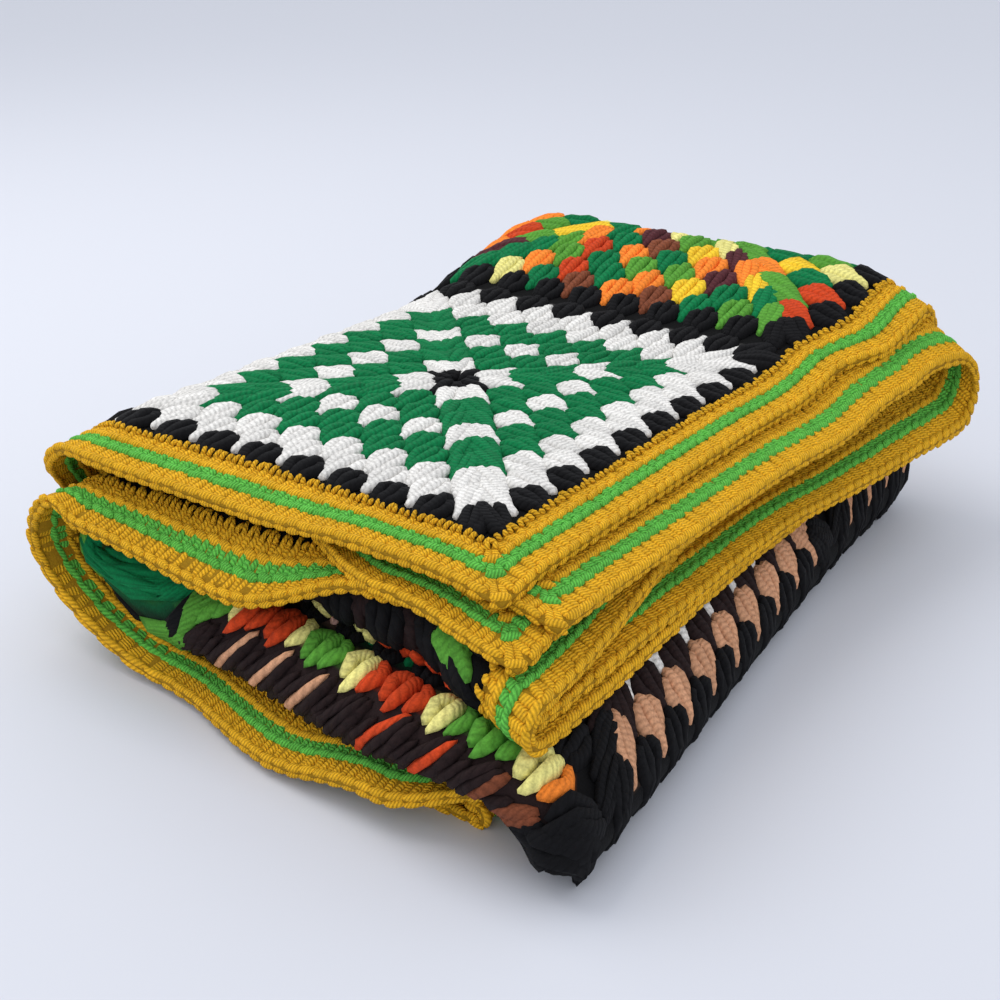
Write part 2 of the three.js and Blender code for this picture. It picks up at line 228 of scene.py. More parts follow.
# ---- the folded cloth ----
def lengthwise(along):
    """Where the cloth, folded in half, lies in a pack seen from its end: y, height and outward direction.

    Heights are from the middle of a pack.
    """
    y = np.empty_like(along)
    h = np.empty_like(along)
    ny = np.zeros_like(along)
    nh = np.ones_like(along)
    starts = [-1e9, BACK_FOLD, RUN_2, NEAR_FOLD, RUN_3, INNER_FOLD, RUN_4, 1e9]
    part = np.searchsorted(starts, along, side="right") - 1

    def run(which, start_y, towards, height, up):
        m = part == which
        y[m] = start_y + towards * (along[m] - max(starts[which], 0))
        h[m] = height
        nh[m] = up

    def turn(which, centre_y, centre_h, radius, towards, up, outward):
        m = part == which
        angle = (along[m] - starts[which]) / radius
        s = towards * np.sin(angle)
        c = up * np.cos(angle)
        y[m] = centre_y + radius * s
        h[m] = centre_h + radius * c
        ny[m] = outward * s
        nh[m] = outward * c

    run(0, NEAR_Y, 1, BACK_RADIUS, 1)
    turn(1, BACK_Y, 0, BACK_RADIUS, 1, 1, 1)
    run(2, BACK_Y, -1, -BACK_RADIUS, -1)
    turn(3, NEAR_Y, NEAR_RADIUS - BACK_RADIUS, NEAR_RADIUS, -1, -1, 1)
    run(4, NEAR_Y, 1, -INNER_RADIUS, 1)
    turn(5, BACK_Y, 0, INNER_RADIUS, 1, -1, -1)
    run(6, BACK_Y, -1, INNER_RADIUS, -1)
    return y, h, ny, nh


def columns(across, height):
    """The part's own column coordinates: "at" along a half of the cloth and the angle round fold 1."""
    half = WIDTH / 2
    rest = half - math.pi * HALF_FOLD / 2
    turn = np.clip((across - rest) / (WIDTH - 2 * rest), 0.0, 1.0) * math.pi
    u = np.minimum(np.minimum(across, WIDTH - across), rest)
    arc = math.pi * (PACK_RADIUS + height)
    lower = LOWER_RUN - LENGTH_PER_HEIGHT * height
    path = (u - TOP_RUN) / (rest - TOP_RUN) * (arc + lower)
    at = np.where(u <= TOP_RUN, u / TOP_RUN, np.where(path <= arc, 1 + path / arc, 2 + (path - arc) / lower))
    return at, turn


def fold(points):
    """Flat cloth points (across, along, over) in millimetres to places in the part's frame, in metres."""
    across, along, over = (np.asarray(points, float)[..., k].ravel() for k in range(3))
    y, mid_h, ny, nh = lengthwise(along)
    at, turn = columns(across, mid_h)
    side = np.where(np.cos(turn) >= 0, 1, -1)
    lift = HALF_FOLD + over
    w = lift * np.cos(turn)
    y = y + w * ny
    h = mid_h + w * nh

    from_border = np.minimum(along, LENGTH - along)
    near = along < RUN
    slide = np.zeros_like(y)
    raised = np.zeros_like(y)
    for name, here in (
        ("top", near & (side > 0)),
        ("second", near & (side < 0)),
        ("third", ~near & (side < 0)),
        ("fourth", ~near & (side > 0)),
    ):
        slide = np.where(here, look_up(AT, BORDERS[name]["y"], at), slide)
        raised = np.where(here, look_up(AT, BORDERS[name]["out"], at), raised)
    ends = from_border < RUN
    y = y + ends * slide * (1 - ease(0, BORDER_SLIDE_REACH, from_border))
    reach = mix(BORDER_LIFT_REACH, LOWER_LIFT_REACH, between(LOWER_LIFT, at))
    h = h + ends * raised * (1 - ease(0, reach, from_border))
    hanging = between(DROOP, at) * ease(NEAR_FOLD, RUN_3, along)
    h = h + FOLD_DROOP * hanging * (1 - ease(RUN_3, RUN_3 + FOLD_DROOP_REACH, along))
    from_fold = np.abs(along - NEAR_FOLD - NEAR_ARC / 2)
    fold_slide = look_up(NEAR_FOLD_SLIDES["at"], NEAR_FOLD_SLIDES["y"], at)
    y = y + fold_slide * (1 - ease(0, NEAR_FOLD_REACH, from_fold))

    from_right = at * TOP_RUN
    slid = np.where(
        side > 0,
        look_up(RIGHT_EDGES["along"], RIGHT_EDGES["outside"], along),
        look_up(RIGHT_EDGES["along"], RIGHT_EDGES["inside"], along),
    )
    upper_x = RIGHT_X - from_right + slid * (1 - ease(0, RIGHT_SLIDE_REACH, from_right))
    radius = PACK_RADIUS + h
    angle = (np.clip(at, 1, 2) - 1) * math.pi
    length = LOWER_RUN - LENGTH_PER_HEIGHT * mid_h
    lower_x = LEFT_X + (at - 2) * length + lift * np.sin(turn)
    lower_z = MIDDLE_Z - PACK_RADIUS - h
    bent = (lower_x > TURN_X) & (at > 2)
    bend = np.where(bent, (lower_x - TURN_X) / np.maximum(lower_z, SMALLEST_TURN), 0)
    lower_x = np.where(bent, TURN_X + lower_z * np.sin(bend), lower_x)
    lower_z = np.where(bent, lower_z * np.cos(bend), lower_z)
    x = np.where(at <= 1, upper_x, np.where(at <= 2, LEFT_X - radius * np.sin(angle), lower_x))
    z = np.where(at <= 1, MIDDLE_Z + radius, np.where(at <= 2, MIDDLE_Z + radius * np.cos(angle), lower_z))

    low = ease(SKEW_FROM_AT, SKEW_FULL_AT, at) * (1 - ease(SKEW_NEAR_Y, SKEW_BACK_Y, y))
    x = x + SKEW_X * low
    y = y - SKEW_Y * low * ease(SKEW_Y_FROM_X, SKEW_Y_FULL_X, x)
    carried = mix(OVERHANG_NEAR_X, OVERHANG_BACK_X, ease(NEAR_Y, BACK_Y, y))
    sagging = (at <= 1) & (z > MIDDLE_Z)
    drop = EDGE_SAG * (z - MIDDLE_Z) / (2 * PACK_RADIUS) * ease(EDGE_SAG_FROM_X, EDGE_SAG_FULL_X, x)
    drop = drop + OVERHANG_SAG * np.maximum(0, x - carried) ** 2
    z = np.where(sagging, z - drop, z)
    z = z * (1 + BACK_LOFT * ease(LOFT_FROM_Y, LOFT_FULL_Y, y))
    folded = np.stack([x, y, z], axis=-1) / 1000
    return (folded + SHIFT).reshape(np.shape(points))


# The bundle is centred on the solids: folded first where it falls, then moved.
SHIFT = np.zeros(3)
GRID_STEP = 5
grid = np.stack(
    np.meshgrid(
        np.arange(0, WIDTH + 1, GRID_STEP),
        np.arange(0, LENGTH + 1, GRID_STEP),
        [-CLOTH / 2, CLOTH / 2],
    ),
    axis=-1,
)
whole = fold(grid).reshape(-1, 3)
middle = (whole.min(axis=0) + whole.max(axis=0)) / 2
SHIFT = np.array(
    [
        (cad_low[0] + cad_high[0]) / 2 - middle[0],
        (cad_low[1] + cad_high[1]) / 2 - middle[1],
        cad_low[2] - whole[:, 2].min(),
    ]
)


# ---- the colours of the squares ----
# Yarns of the rounds from the middle out. "scraps" is a round with a yarn of its own for each post.
GREEN_WHITE = ["black", "white", "green", "green", "white", "green", "green", "white", "white", "black"]
SCRAPS = ["yellow"] + 8 * ["scraps"] + ["black"]
PEACH = ["rust", "yellow", "dark", "leaf", "white", "green", "white", "dark", "peach", "black"]
SUNNY = ["brown", "cream", "orange", "maroon", "yellow", "rust", "green", "cream", "leaf", "black"]
NEAR = ["rust", "cream", "green", "yellow", "brown", "black", "dark", "dark", "leaf", "black"]
DESIGNS = {
    (0, 0): GREEN_WHITE,
    (0, 1): SCRAPS,
    (1, 0): GREEN_WHITE,
    (1, 1): PEACH,
    (1, 2): PEACH,
    (0, 2): SUNNY,
    (0, 3): NEAR,
    (1, 3): NEAR,
}
OTHERS = [SCRAPS, SUNNY, GREEN_WHITE, PEACH]
SCRAP_YARNS = ["green", "yellow", "orange", "rust", "leaf", "cream", "brown", "maroon", "green", "leaf"]
# The scrap yarns are scattered by one number for each of what a post's place is made of.
SCATTER = (12.99, 78.23, 37.72, 5.3, 9.1)
SCATTER_SIZE = 43758.5
BACKING_SHADE = 0.45  # painted shade: the cloth between the stitches is darker than its yarn, for the shadow in the gaps between them
# painted shade: the edging's cloth between its stitches is darker than its yarn, for the shadow in the gaps
EDGING_SHADE = 0.4

# Yarns that change along a round: each with its length in millimetres.
RIDGE_RUN = [
    ("leaf", 22),
    ("cream", 16),
    ("rust", 28),
    ("cream", 14),
    ("leaf", 24),
    ("cream", 16),
    ("rust", 36),
    ("cream", 16),
    ("leaf", 38),
    ("cream", 14),
    ("orange", 12),
    ("black", 30),
]
UNDER_RUN = [
    ("dark", 48),
    ("peach", 8),
    ("dark", 18),
    ("peach", 8),
    ("dark", 18),
    ("peach", 8),
    ("dark", 36),
    ("rust", 8),
    ("dark", 26),
    ("rust", 8),
    ("dark", 28),
    ("brown", 24),
    ("black", 30),
]
OVER_RUN = [("dark", 60), ("pink", 26), ("green", 52), ("maroon", 30), ("black", 92)]
NEAR_RUN = [("rust", 60), ("cream", 60), ("leaf", 60), ("green", 80)]
# Runs of yarn at the near fold, by column, row, round and side of the square.
CHANGING = {
    (1, 3, 10, 0): RIDGE_RUN,
    (1, 3, 9, 0): UNDER_RUN,
    (1, 2, 9, 2): OVER_RUN,
    (0, 3, 10, 0): NEAR_RUN,
    (0, 3, 9, 0): [("black", 180), ("green", 80)],
    (0, 3, 10, 1): [("green", 60), ("black", 200)],
    (1, 3, 10, 3): [("leaf", 20), ("black", 240)],
    (0, 2, 9, 2): NEAR_RUN,
    (1, 3, 9, 1): [("black", 260)],
}

# The row along the near fold: its lumps are set close together, and the round before sends no fingers
# between them.
PACKED = {(1, 3, 10, 0), (0, 3, 10, 0)}
TUCKED = {(1, 3, 9, 0), (0, 3, 9, 0)}


def design_of(column, row):
    """The yarns of a square's rounds."""
    return DESIGNS.get((column, row), OTHERS[(3 * column + 2 * row) % len(OTHERS)])


def along_run(run, where):
    """The yarn that a run has at a place along it."""
    total = 0
    for name, length in run:
        total += length
        if where < total:
            return name
    return run[-1][0]


def yarn_of(column, row, number, side, where, count):
    """The yarn of one post: its square, round from 1, side, place along the side and cluster's number."""
    if (column, row, number, side) in CHANGING:
        return along_run(CHANGING[(column, row, number, side)], where)
    name = design_of(column, row)[number - 1]
    if name == "scraps":
        place = (count, number, side, column, row)
        pick = SCATTER_SIZE * math.sin(sum(a * b for a, b in zip(SCATTER, place)))
        return SCRAP_YARNS[int(pick % 1 * len(SCRAP_YARNS))]
    return name


# ---- making meshes ----
dice = np.random.default_rng(7)


def jitter(size, *shape):
    return dice.uniform(-size, size, shape)


def mesh_object(name, points, quads, tris, colours, uv=None):
    """A smooth mesh of quads and triangles in the part's frame, with a colour for each point."""
    mesh = bpy.data.meshes.new(name)
    mesh.vertices.add(len(points))
    mesh.vertices.foreach_set("co", np.asarray(points, np.float32).ravel())
    corners = np.concatenate([np.asarray(quads, np.int32).ravel(), np.asarray(tris, np.int32).ravel()])
    starts = np.concatenate([np.arange(len(quads)) * 4, 4 * len(quads) + np.arange(len(tris)) * 3])
    mesh.loops.add(len(corners))
    mesh.loops.foreach_set("vertex_index", corners)
    mesh.polygons.add(len(starts))
    mesh.polygons.foreach_set("loop_start", starts.astype(np.int32))
    mesh.polygons.foreach_set("use_smooth", np.ones(len(starts), bool))
    mesh.update(calc_edges=True)
    mesh.validate()
    paint = mesh.color_attributes.new("yarn", "FLOAT_COLOR", "POINT")
    rgba = np.ones((len(points), 4), np.float32)
    rgba[:, :3] = colours
    paint.data.foreach_set("color", rgba.ravel())
    if uv is not None:
        layer = mesh.uv_layers.new(name="strand")
        layer.data.foreach_set("uv", np.asarray(uv, np.float32).ravel())
    made = bpy.data.objects.new(name, mesh)
    bpy.context.scene.collection.objects.link(made)
    return made


class Strands:
    """Lengths of yarn laid on the flat cloth, made into one mesh on the folded cloth."""

    FACETS = 6
    TIP = 0.6  # how far the end of a strand stands out, in radii
    ANYWHERE = 50.0  # the plies of a strand start anywhere along this length

    def __init__(self, name):
        self.name = name
        self.parts = []

    def lay(self, paths, radii, colours, flatness):
        """paths: strands x rings x 3, radii: strands x rings, colours: strands x 3."""
        self.parts.append((paths, np.broadcast_to(radii, paths.shape[:2]), colours, flatness))

    def tube(self, paths, radii, colours, flatness):
        """Points, quads, triangles, colours and strand coordinates of closed tubes along the paths."""
        strands, rings, _ = paths.shape
        facets = self.FACETS
        tangent = np.gradient(paths, axis=1)
        tangent /= np.linalg.norm(tangent, axis=2, keepdims=True) + 1e-9
        across = np.cross(tangent, np.array([0.0, 0.0, 1.0]))
        length = np.linalg.norm(across, axis=2, keepdims=True)
        across = np.where(length > 0.05, across / (length + 1e-9), np.array([1.0, 0.0, 0.0]))
        over = np.cross(across, tangent) * flatness
        angle = np.arange(facets) / facets * 2 * math.pi
        ring = (
            paths[:, :, None]
            + radii[:, :, None, None] * across[:, :, None] * np.cos(angle)[:, None]
            + radii[:, :, None, None] * over[:, :, None] * np.sin(angle)[:, None]
        )
        starts = paths[:, 0] - tangent[:, 0] * radii[:, :1] * self.TIP
        ends = paths[:, -1] + tangent[:, -1] * radii[:, -1:] * self.TIP
        points = np.concatenate([ring.reshape(strands, -1, 3), starts[:, None], ends[:, None]], axis=1)

        each = rings * facets + 2
        base = np.arange(strands)[:, None, None] * each
        r = np.arange(rings - 1)[:, None] * facets
        s = np.arange(facets)
        t = (s + 1) % facets
        a = (r + s).ravel()
        b = (r + t).ravel()
        quads = np.stack([a, b, b + facets, a + facets], axis=-1)[None] + base
        last = (rings - 1) * facets
        head = np.stack([np.full(facets, each - 2), t, s], axis=-1)
        tail = np.stack([np.full(facets, each - 1), last + s, last + t], axis=-1)
        tris = np.concatenate([head, tail])[None] + base

        step = np.linalg.norm(np.diff(paths, axis=1), axis=2)
        run = np.concatenate([np.zeros((strands, 1)), np.cumsum(step, axis=1)], axis=1)
        run = run + dice.uniform(0, self.ANYWHERE, (strands, 1))
        v = np.arange(facets + 1) / facets
        low = np.repeat(run[:, :-1, None], facets, axis=2)
        high = np.repeat(run[:, 1:, None], facets, axis=2)
        left = np.broadcast_to(v[:-1], low.shape)
        right = np.broadcast_to(v[1:], low.shape)
        quad_uv = np.stack([low, left, low, right, high, right, high, left], axis=-1).reshape(-1, 2)
        first, final = low[:, 0], high[:, -1]
        left, right = left[:, 0], right[:, 0]
        head_uv = np.stack([first - 1, left, first, right, first, left], axis=-1)
        tail_uv = np.stack([final + 1, left, final, left, final, right], axis=-1)
        tri_uv = np.concatenate([head_uv, tail_uv], axis=1).reshape(-1, 2)
        paint = np.repeat(colours[:, None], each, axis=1).reshape(-1, 3)
        return points.reshape(-1, 3), quads.reshape(-1, 4), tris.reshape(-1, 3), paint, quad_uv, tri_uv

    def make(self):
        """All the strands as one object on the folded cloth, and nothing of it under the floor."""
        points, quads, tris, paint, quad_uv, tri_uv = [], [], [], [], [], []
        count = 0
        for part in self.parts:
            p, q, t, c, qu, tu = self.tube(*part)
            points.append(p)
            quads.append(q + count)
            tris.append(t + count)
            paint.append(c)
            quad_uv.append(qu)
            tri_uv.append(tu)
            count += len(p)
        folded = fold(np.concatenate(points))
        folded[:, 2] = np.maximum(folded[:, 2], 0)
        quads, tris, paint = (np.concatenate(each) for each in (quads, tris, paint))
        return mesh_object(self.name, folded, quads, tris, paint, np.concatenate(quad_uv + tri_uv))


# ---- the cloth under the stitches ----
BACKING = 1.0  # half its thickness
COARSE = ROUND
FINE_ARC = 2.6
FEWEST_FINE = 8


def stations(start, end, folds):
    """Places from start to end, a round apart and finer inside the folds."""
    places = [start]
    for low, high in folds:
        coarse = max(1, round((low - places[-1]) / COARSE))
        places += list(np.linspace(places[-1], low, coarse + 1)[1:])
        fine = max(FEWEST_FINE, round((high - low) / FINE_ARC))
        places += list(np.linspace(low, high, fine + 1)[1:])
    rest = max(1, round((end - places[-1]) / COARSE))
    places += list(np.linspace(places[-1], end, rest + 1)[1:])
    return np.array(places)


FOLDS_ALONG = [(BACK_FOLD, RUN_2), (NEAR_FOLD, RUN_3), (INNER_FOLD, RUN_4)]
TURN_HALF = math.pi * HALF_FOLD / 2
FOLDS_ACROSS = [(WIDTH / 2 - TURN_HALF, WIDTH / 2 + TURN_HALF)]


def backing_colour(across, along):
    """The colour of the cloth between the stitches: its round's yarn, darkened as painted shade."""
    x = (across - EDGING_WIDTH) / SQUARE
    y = (along - EDGING_WIDTH) / SQUARE
    column = min(max(int(x), 0), SQUARES_WIDE - 1)
    row = min(max(int(y), 0), SQUARES_LONG - 1)
    px = (x - column - 0.5) * SQUARE
    py = (y - row - 0.5) * SQUARE
    number = int(np.clip(max(abs(px), abs(py)) / ROUND, 0, ROUNDS - 1)) + 1
    side = (2 if py > 0 else 0) if abs(py) > abs(px) else (1 if px > 0 else 3)
    where = (px if side in (0, 2) else py) + SQUARE / 2
    if (column, row, number, side) in TUCKED:
        return np.array(YARNS["dark"])
    yarn = yarn_of(column, row, number, side, where, int(where // CLUSTER))
    return np.array(YARNS[yarn]) * BACKING_SHADE


def closed_sheet(name, across, along, colour_at, keep=None):
    """A thin closed sheet over a grid of flat cloth, or over the cells of it that are kept."""
    nx, ny = len(across), len(along)
    flat = np.stack(np.meshgrid(across, along, indexing="ij"), axis=-1)
    top = np.concatenate([flat, np.full((nx, ny, 1), BACKING)], axis=-1)
    bottom = top * np.array([1, 1, -1])
    index = np.arange(nx * ny).reshape(nx, ny)
    cells = np.ones((nx - 1, ny - 1), bool) if keep is None else keep
    a, b, c, d = index[:-1, :-1], index[1:, :-1], index[1:, 1:], index[:-1, 1:]
    upper = np.stack([a, d, c, b], axis=-1)[cells]
    lower = np.stack([a, b, c, d], axis=-1)[cells] + nx * ny
    padded = np.pad(cells, 1)
    walls = []
    for (di, dj), (p, q) in (((-1, 0), (a, d)), ((1, 0), (c, b)), ((0, -1), (b, a)), ((0, 1), (d, c))):
        open_side = cells & ~padded[1 + di : nx + di, 1 + dj : ny + dj]
        p, q = p[open_side], q[open_side]
        walls.append(np.stack([p, p + nx * ny, q + nx * ny, q], axis=-1))
    points = fold(np.concatenate([top.reshape(-1, 3), bottom.reshape(-1, 3)]))
    paint = np.array([colour_at(x, y) for x, y in flat.reshape(-1, 2)])
    quads = np.concatenate([upper, lower] + walls)
    used = np.unique(quads)
    remap = np.zeros(2 * nx * ny, int)
    remap[used] = np.arange(len(used))
    return mesh_object(name, points[used], remap[quads], np.zeros((0, 3), int), np.tile(paint, (2, 1))[used])


def edging_colour(across, along):
    """The colour of the edging's cloth between the stitches: its mustard yarn, darkened as painted shade."""
    return np.array(YARNS["mustard"]) * EDGING_SHADE


field_across = stations(EDGING_WIDTH, WIDTH - EDGING_WIDTH, FOLDS_ACROSS)
field_along = stations(EDGING_WIDTH, LENGTH - EDGING_WIDTH, FOLDS_ALONG)
squares_cloth = closed_sheet("squares_cloth", field_across, field_along, backing_colour)

EDGING_STATIONS = np.array([0, 10, 17])  # the grid's lines in the edging, in from the rim
SAME_PLACE = 0.01


def with_rim(field, size):
    """The field's places with those of the edging on both sides, and which steps lie in the field."""
    places = np.concatenate([EDGING_STATIONS, field, size - EDGING_STATIONS[::-1]])
    after = places[:-1] >= EDGING_WIDTH - SAME_PLACE
    before = places[1:] <= size - EDGING_WIDTH + SAME_PLACE
    return places, after & before


rim_across, in_field_across = with_rim(field_across, WIDTH)
rim_along, in_field_along = with_rim(field_along, LENGTH)
edging_cells = ~np.outer(in_field_across, in_field_along)
edging_cloth = closed_sheet("edging_cloth", rim_across, rim_along, edging_colour, edging_cells)


# ---- which stitches can be seen ----
SEEN_ENOUGH = 0.03
DIRECTIONS = 26
LOOK_FROM = 3.0  # over and under the middle of the cloth
LOOK_FAR = 1.0  # metres


def world_points(*objects):
    """Points and faces of some objects as one mesh."""
    points, faces, count = [], [], 0
    for item in objects:
        points += [tuple(v.co) for v in item.data.vertices]
        faces += [[i + count for i in face.vertices] for face in item.data.polygons]
        count = len(points)
    return points, faces


cloth_tree = BVHTree.FromPolygons(*world_points(squares_cloth, edging_cloth))


def exposure(flat):
    """For flat cloth points, the share of directions in which the outside can be seen from either face."""
    k = np.arange(DIRECTIONS) + 0.5
    up = 1 - 2 * k / DIRECTIONS
    spin = k * math.pi * (1 + 5**0.5)
    directions = [
        Vector((math.sqrt(1 - z * z) * math.cos(s), math.sqrt(1 - z * z) * math.sin(s), z))
        for z, s in zip(up, spin)
    ]
    seen = np.zeros(len(flat))
    for over in (LOOK_FROM, -LOOK_FROM):
        lifted = flat.copy()
        lifted[:, 2] = over
        for i, p in enumerate(fold(lifted)):
            start = Vector(p)
            seen[i] += sum(cloth_tree.ray_cast(start, d, LOOK_FAR)[0] is None for d in directions)
    return seen / (2 * DIRECTIONS)


# ---- the clusters ----
# Local coordinates of a square's side: "p" along the side and "q" outward from the square's middle.
SIDES = [
    ((1, 0), (0, -1)),
    ((0, 1), (1, 0)),
    ((1, 0), (0, 1)),
    ((0, 1), (-1, 0)),
]
POSTS = (-1, 0, 1)
YARN_STEP = 8.0  # how far apart the posts of a cluster pick their yarn from a run
# A post from its foot to its top: share of its length, distance from the cluster's middle, height and radius.
POST_RINGS = np.array([0, 0.14, 0.36, 0.6, 0.84, 1.0])
POST_SPREAD = np.array([3.6, 5.2, 6.8, 6.2, 4.2, 2.8])
POST_OVER = np.array([1.3, 2.2, 2.2, 1.6, 1.2, 1.0])
POST_RADII = np.array([2.2, 3.2, 3.6, 3.6, 3.4, 2.5])
POST_FLATNESS = 0.9
MIDDLE_OVER = 0.5  # how much higher the middle post lies
FOOT_DEPTH = 5.6  # how far the feet reach into the round before
FOOT_DOME = 2.2  # how much less the outer ones do
NEAREST_FOOT = 3.0  # to the square's middle
SIDE_TOP = 2.6  # how far the outer posts reach past their round
FINGER_TOP = 6.4  # and the middle one
LAST_TOP = -0.6  # and all of them in the last round
CORNER_FOOT = 5.6  # the corner clusters lean outward: their feet are drawn back and their tops moved on
CORNER_TOP = 2.0
CORNER_NARROW = 0.8
ROUNDING = 0.07
ROUNDING_START = 4
ROUNDING_END = 6
PACKED_SPREAD = 1.5
PACKED_RADIUS = 1.12
PACKED_DEPTH = 3.0
TUCKED_TOP = -3.5
# How much the posts vary, in millimetres, and their radii and tones as a share.
FOOT_JITTER = 0.7
TOP_JITTER = 0.6
POST_JITTER = 0.6
POST_WOBBLE = 0.4
OVER_JITTER = 0.3
POST_SIZE_JITTER = 0.06
RING_SIZE_JITTER = 0.09
POST_TONE_JITTER = 0.10


def list_clusters():
    """Every cluster: its square's middle, directions, round, place along the side, lean, yarns and key."""
    found = []
    for column in range(SQUARES_WIDE):
        for row in range(SQUARES_LONG):
            centre = EDGING_WIDTH + (np.array([column, row]) + 0.5) * SQUARE
            for number in range(1, ROUNDS + 1):
                for side, (along_side, outward) in enumerate(SIDES):
                    key = (column, row, number, side)
                    for k in range(number):
                        p = (k - (number - 1) / 2) * CLUSTER
                        at = [p + SQUARE / 2 + YARN_STEP * post for post in POSTS]
                        yarns = [YARNS[yarn_of(*key, where, k + side * number)] for where in at]
                        lean = (k == number - 1) - (k == 0) if number > 1 else 0
                        found.append((centre, along_side, outward, number, p, lean, yarns, key))
    return found


clusters = list_clusters()
centres = np.array([c[0] for c in clusters])
along_side = np.array([c[1] for c in clusters], float)
outward = np.array([c[2] for c in clusters], float)
numbers = np.array([c[3] for c in clusters], float)
places = np.array([c[4] for c in clusters])
leans = np.array([c[5] for c in clusters], float)
cluster_yarns = np.array([c[6] for c in clusters])
packed = np.array([c[7] in PACKED for c in clusters])
tucked = np.array([c[7] in TUCKED for c in clusters])
middles = centres + along_side * places[:, None] + outward * ((numbers - 0.5) * ROUND)[:, None]
cluster_seen = exposure(np.concatenate([middles, np.zeros((len(middles), 1))], axis=1))


def on_cloth(which, p, q, over):
    """Flat cloth points of places (p, q, over) in the squares' own coordinates; one row for each cluster.

    The rounds' corners are drawn in a little, less so towards the square's own corners.
    """
    to_corner = np.minimum(np.abs(p) / np.maximum(q, 1), 1) ** ROUNDING_START
    to_edge = np.minimum(np.abs(q) / (SQUARE / 2), 1) ** ROUNDING_END
    shrink = 1 - ROUNDING * to_corner * (1 - to_edge)
    p = p * shrink
    q = q * shrink
    flat = (
        centres[which][:, None]
        + along_side[which][:, None] * p[..., None]
        + outward[which][:, None] * q[..., None]
    )
    return np.concatenate([flat, over[..., None]], axis=-1)


def lay_clusters(strands, which):
    """The posts of some clusters: from a dome of feet to a finger between the next round's domes."""
    n, rings = len(which), len(POST_RINGS)
    inner = (numbers[which] - 1) * ROUND
    outer = numbers[which] * ROUND
    lean = leans[which]
    s = POST_RINGS[None]
    depth = np.where(packed[which], PACKED_DEPTH, FOOT_DEPTH)
    wide = np.where(packed[which], PACKED_SPREAD, 1.0)
    stout = np.where(packed[which], PACKED_RADIUS, 1.0)[:, None]
    narrow = (wide * np.where(lean == 0, 1.0, CORNER_NARROW))[:, None]
    corner = lean[:, None] * (CORNER_TOP * s - CORNER_FOOT * (1 - s))
    for k, post in enumerate(POSTS):
        foot = np.maximum(inner - depth + FOOT_DOME * abs(post), NEAREST_FOOT) + jitter(FOOT_JITTER, n)
        finger = np.where(tucked[which], TUCKED_TOP, SIDE_TOP if post else FINGER_TOP)
        top = outer + np.where(numbers[which] < ROUNDS, finger, LAST_TOP) + jitter(TOP_JITTER, n)
        p = places[which][:, None] + post * POST_SPREAD[None] * narrow + corner
        p = p + jitter(POST_JITTER, n)[:, None] + jitter(POST_WOBBLE, n, rings)
        q = foot[:, None] + (top - foot)[:, None] * s
        over = POST_OVER[None] + (0.0 if post else MIDDLE_OVER)
        over = over + jitter(OVER_JITTER, n)[:, None] + jitter(OVER_JITTER, n, rings)
        size = 1 + jitter(POST_SIZE_JITTER, n)[:, None] + jitter(RING_SIZE_JITTER, n, rings)
        colours = cluster_yarns[which, k] * (1 + jitter(POST_TONE_JITTER, n))[:, None]
        strands.lay(on_cloth(which, p, q, over), stout * POST_RADII[None] * size, colours, POST_FLATNESS)


seen_clusters = np.flatnonzero(cluster_seen > SEEN_ENOUGH)
rows = ((middles[:, 1] - EDGING_WIDTH) // SQUARE).astype(int)
halves = (middles[:, 0] > WIDTH / 2).astype(int)
cluster_pieces = []
for row in range(SQUARES_LONG):
    for half in (0, 1):
        which = seen_clusters[(rows[seen_clusters] == row) & (halves[seen_clusters] == half)]
        if len(which):
            strands = Strands(f"clusters_{row + 1}_{'outer' if half == 0 else 'inner'}")
            lay_clusters(strands, which)
            cluster_pieces.append(strands.make())

# ---- the edging: three rounds of short stitches all round ----
STITCH = 7.4  # from one stitch to the next
# The three rounds from the rim inward: where their middle lies, half their width and their yarn.
ROUND_INSETS = [5.4, 14.0, 20.6]
ROUND_HALVES = [4.6, 3.4, 3.4]
ROUND_YARNS = ["mustard", "lime", "mustard"]
STITCH_FLATNESS = 1.1
STITCH_TONE_JITTER = 0.09
# A leg, from its inner to its outer end, and how much one differs from the next.
LEG_RINGS = np.linspace(-1, 1, 5)
LEG_RADII = np.array([1.6, 2.15, 2.3, 2.25, 1.7])
LEG_APART = 1.75
LEG_SLANT = 0.55
LEG_OVER = 0.2
LEG_IN = 0.5
LEG_SLANT_JITTER = 0.35
LEG_OVER_JITTER = 0.25
LEG_WOBBLE = 0.2
LEG_PLACE_JITTER = 0.3
LEG_LENGTH_JITTER = 0.4
LEG_SIZE_JITTER = 0.07
# A link of the chain that lies on the legs' outer ends, one link on each face.
CHAIN_RADII = np.array([1.1, 1.75, 1.9, 1.75, 1.1])
CHAIN_HALF = 3.9
CHAIN_IN = 0.4
CHAIN_SLANT = 0.7
CHAIN_OVER = 1.5
CHAIN_TILT = 0.35
CHAIN_OVER_JITTER = 0.25
CHAIN_PLACE_JITTER = 0.3
# The long legs of the innermost round, which reach into the black.
SPIKE_RINGS = np.linspace(0, 1, 4)
SPIKE_RADII = np.array([1.4, 1.2, 1.1, 0.8])
SPIKE_REACH = (1.2, 4.6)
SPIKE_START = 3.0
SPIKE_APART = 1.7
SPIKE_SPLAY = 0.4
SPIKE_SWAY = 1.5
SPIKE_OVER = 2.0
# painted shade: the legs sunk among the black posts are darker than their yarn
SPIKE_SHADE = 0.92
SPIKE_TONE_JITTER = 0.12


